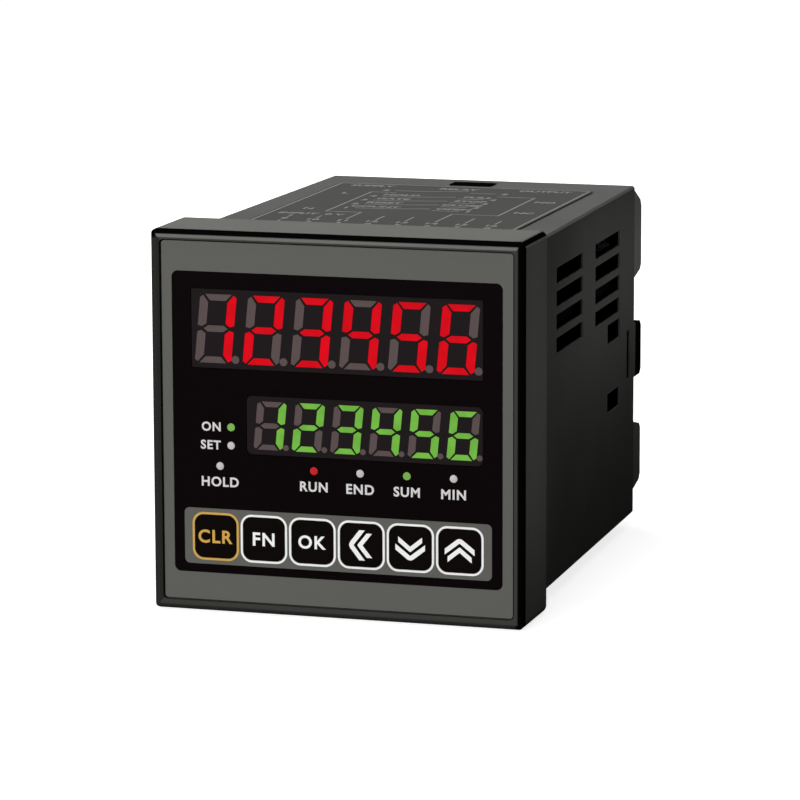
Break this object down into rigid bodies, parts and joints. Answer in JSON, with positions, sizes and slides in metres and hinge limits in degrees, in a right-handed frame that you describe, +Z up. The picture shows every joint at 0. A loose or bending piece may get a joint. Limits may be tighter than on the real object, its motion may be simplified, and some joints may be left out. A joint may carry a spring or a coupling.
{
  "type": "panel counter",
  "caption": "Square panel-mount counter with a deep bezel, two lit digit displays, indicators, a row of press keys, vented case sides and rear screw terminals.",
  "frame": {"origin": "middle of the bezel's rear shoulder, the plane that lies on the panel's front", "axes": "+X to the right seen from the front, +Y into the panel along the case, +Z up"},
  "size_m": [0.072, 0.1067, 0.072],
  "materials": {
    "case": "fine moulded grain",
    "panel": "satin",
    "window": "satin",
    "key": "satin",
    "plunger": "smooth",
    "switch": "smooth",
    "display_face": "matte",
    "red_lit": "lit",
    "green_lit": "lit",
    "unlit": "diffuse",
    "lens": "diffuse",
    "board": "solder resist",
    "brass": "stamped",
    "steel": "plated",
    "core": "laminated",
    "coil": "taped",
    "relay": "moulded",
    "can": "sleeved",
    "black_resin": "moulded"
  },
  "bodies": {
    "housing": {"case": "case", "terminal_base": "case", "front_panel": "panel", "key_strip": "panel", "display_window": "window", "switch_1": "switch", "switch_2": "switch", "switch_3": "switch", "switch_4": "switch", "switch_5": "switch", "switch_6": "switch", "upper_display": "display_face", "lower_display": "display_face", "upper_lit": "red_lit", "led_out": "red_lit", "lower_lit": "green_lit", "led_power": "green_lit", "led_count": "green_lit", "upper_unlit": "unlit", "lower_unlit": "unlit", "led_preset": "lens", "led_lock": "lens", "led_batch": "lens", "led_timer": "lens", "front_board": "board", "upper_board": "board", "lower_board": "board", "terminal_bars": "brass", "clamp_plates": "steel", "terminal_screws": "steel", "board_screws": "steel", "transformer_core": "core", "transformer_coil": "coil", "output_relay": "relay", "supply_capacitor": "can", "controller_chip": "black_resin", "board_connectors": "black_resin"},
    "key_1": {"key_1": "key", "plunger_1": "plunger"},
    "key_2": {"key_2": "key", "plunger_2": "plunger"},
    "key_3": {"key_3": "key", "plunger_3": "plunger"},
    "key_4": {"key_4": "key", "plunger_4": "plunger"},
    "key_5": {"key_5": "key", "plunger_5": "plunger"},
    "key_6": {"key_6": "key", "plunger_6": "plunger"}
  },
  "joints": [
    {"name": "key_1_press", "type": "slide", "parent": "housing", "child": "key_1", "axis": [0, 1, 0], "range_m": [0, 0.0004], "stiffness_N_per_m": 3000},
    {"name": "key_2_press", "type": "slide", "parent": "housing", "child": "key_2", "axis": [0, 1, 0], "range_m": [0, 0.0004], "stiffness_N_per_m": 3000},
    {"name": "key_3_press", "type": "slide", "parent": "housing", "child": "key_3", "axis": [0, 1, 0], "range_m": [0, 0.0004], "stiffness_N_per_m": 3000},
    {"name": "key_4_press", "type": "slide", "parent": "housing", "child": "key_4", "axis": [0, 1, 0], "range_m": [0, 0.0004], "stiffness_N_per_m": 3000},
    {"name": "key_5_press", "type": "slide", "parent": "housing", "child": "key_5", "axis": [0, 1, 0], "range_m": [0, 0.0004], "stiffness_N_per_m": 3000},
    {"name": "key_6_press", "type": "slide", "parent": "housing", "child": "key_6", "axis": [0, 1, 0], "range_m": [0, 0.0004], "stiffness_N_per_m": 3000}
  ]
}
